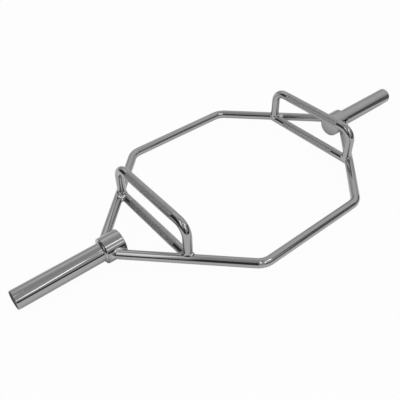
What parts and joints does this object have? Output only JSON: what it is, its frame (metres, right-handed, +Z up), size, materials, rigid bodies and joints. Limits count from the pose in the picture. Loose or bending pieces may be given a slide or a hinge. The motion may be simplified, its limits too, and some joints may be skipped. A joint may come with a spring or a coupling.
{
  "type": "hex trap bar",
  "caption": "Chromed hexagonal lifting frame with plate sleeves on collars, low knurled handles between the bars and raised U-shaped knurled handles above them.",
  "frame": {"origin": "on the floor, under the middle of the six-sided frame", "axes": "+X along the sleeves to the right, +Y to the rear, +Z up"},
  "size_m": [1.383, 0.6014, 0.1478],
  "materials": {
    "frame_chrome": "polished chrome plate",
    "collar_chrome": "turned, polished chrome plate",
    "sleeve_chrome": "polished chrome plate",
    "handle_chrome": "chrome plate, knurled grip",
    "weld_chrome": "plated weld bead",
    "black_plastic": "moulded, fine grain"
  },
  "bodies": {
    "root": {"front_frame_bar": "frame_chrome", "rear_frame_bar": "frame_chrome", "left_collar": "collar_chrome", "left_sleeve": "sleeve_chrome", "left_sleeve_weld": "weld_chrome", "left_end_plug": "black_plastic", "left_low_handle": "handle_chrome", "left_raised_handle": "handle_chrome", "left_front_collar_weld": "weld_chrome", "left_front_low_handle_weld": "weld_chrome", "left_front_raised_handle_weld": "weld_chrome", "left_rear_collar_weld": "weld_chrome", "left_rear_low_handle_weld": "weld_chrome", "left_rear_raised_handle_weld": "weld_chrome", "right_collar": "collar_chrome", "right_sleeve": "sleeve_chrome", "right_sleeve_weld": "weld_chrome", "right_end_plug": "black_plastic", "right_low_handle": "handle_chrome", "right_raised_handle": "handle_chrome", "right_front_collar_weld": "weld_chrome", "right_front_low_handle_weld": "weld_chrome", "right_front_raised_handle_weld": "weld_chrome", "right_rear_collar_weld": "weld_chrome", "right_rear_low_handle_weld": "weld_chrome", "right_rear_raised_handle_weld": "weld_chrome"}
  },
  "joints": []
}
